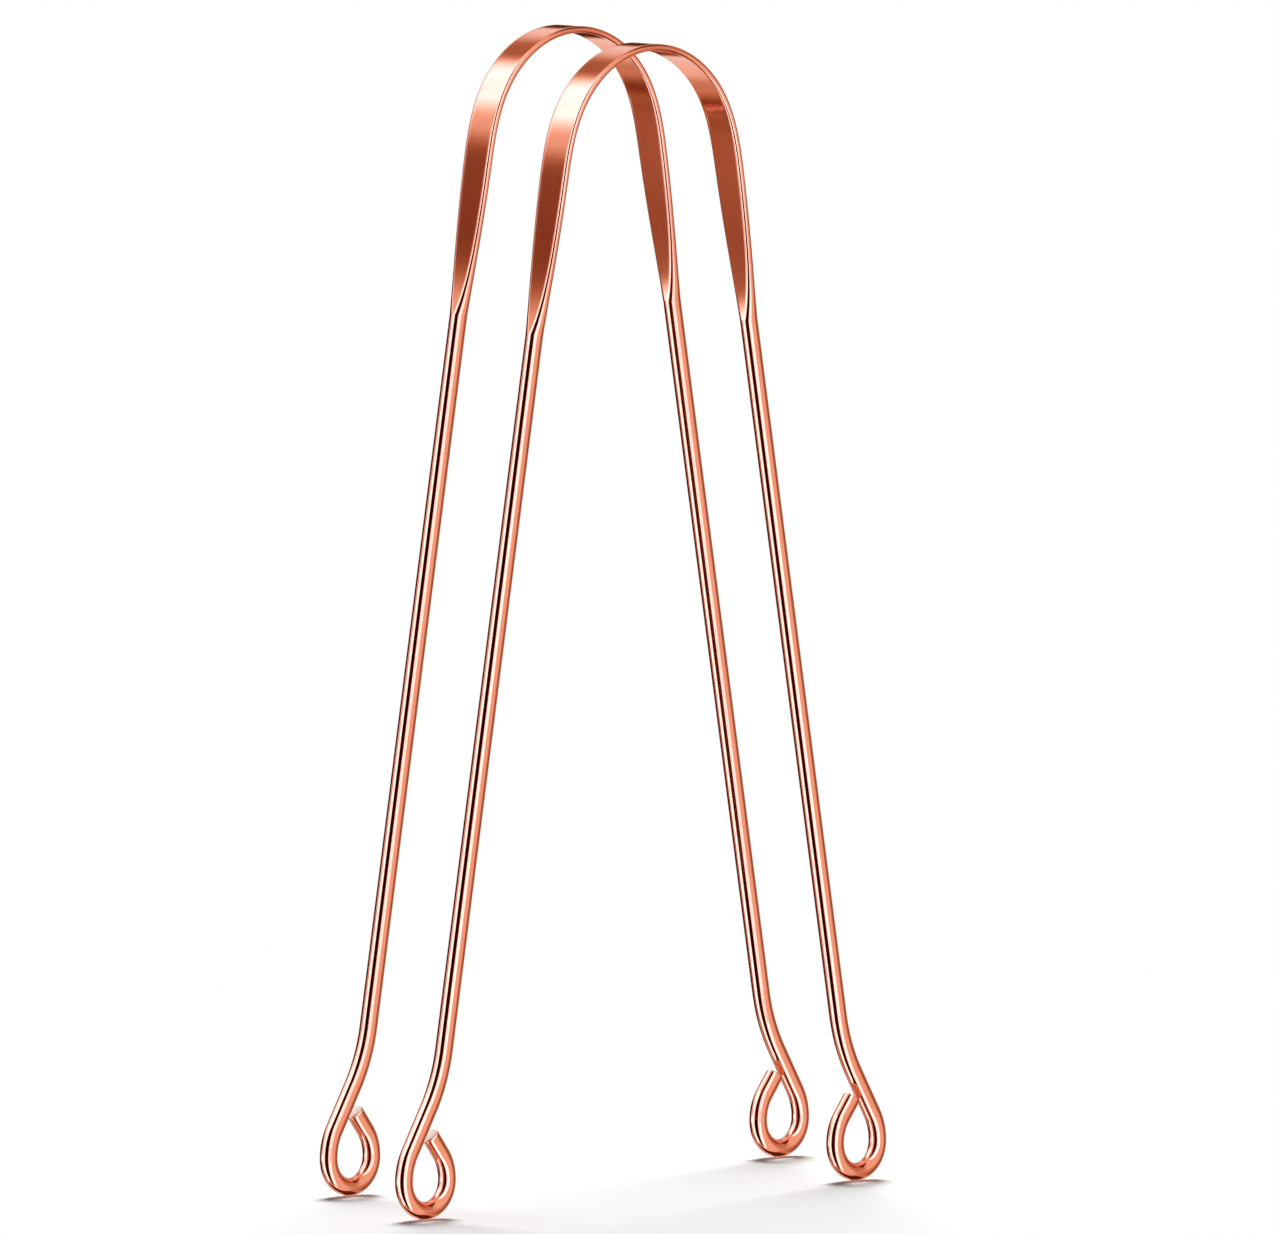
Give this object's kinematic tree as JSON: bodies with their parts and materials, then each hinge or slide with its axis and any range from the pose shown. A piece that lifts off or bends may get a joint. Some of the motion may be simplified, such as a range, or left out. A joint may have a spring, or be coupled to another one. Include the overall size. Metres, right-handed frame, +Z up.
{
  "type": "tongue scraper pair",
  "caption": "Matching copper tongue scrapers, each one bent wire: a pressed flat bow that scrapes, spreading round legs, and an open finger loop at each end.",
  "frame": {"origin": "on the floor under the middle of the set's box", "axes": "+Z up from the loops to the bows, +X along the span of the legs, and +Y from the front scraper to the rear one"},
  "size_m": [0.1058, 0.036, 0.1499],
  "materials": {
    "polished_copper": "polished"
  },
  "bodies": {
    "rear": {"rear_scraper": "polished_copper"},
    "front": {"front_scraper": "polished_copper"}
  },
  "joints": [
    {"name": "front_slides_away", "type": "slide", "parent": "rear", "child": "front", "axis": [0, -1, 0], "range_m": [0, 0.1]}
  ]
}
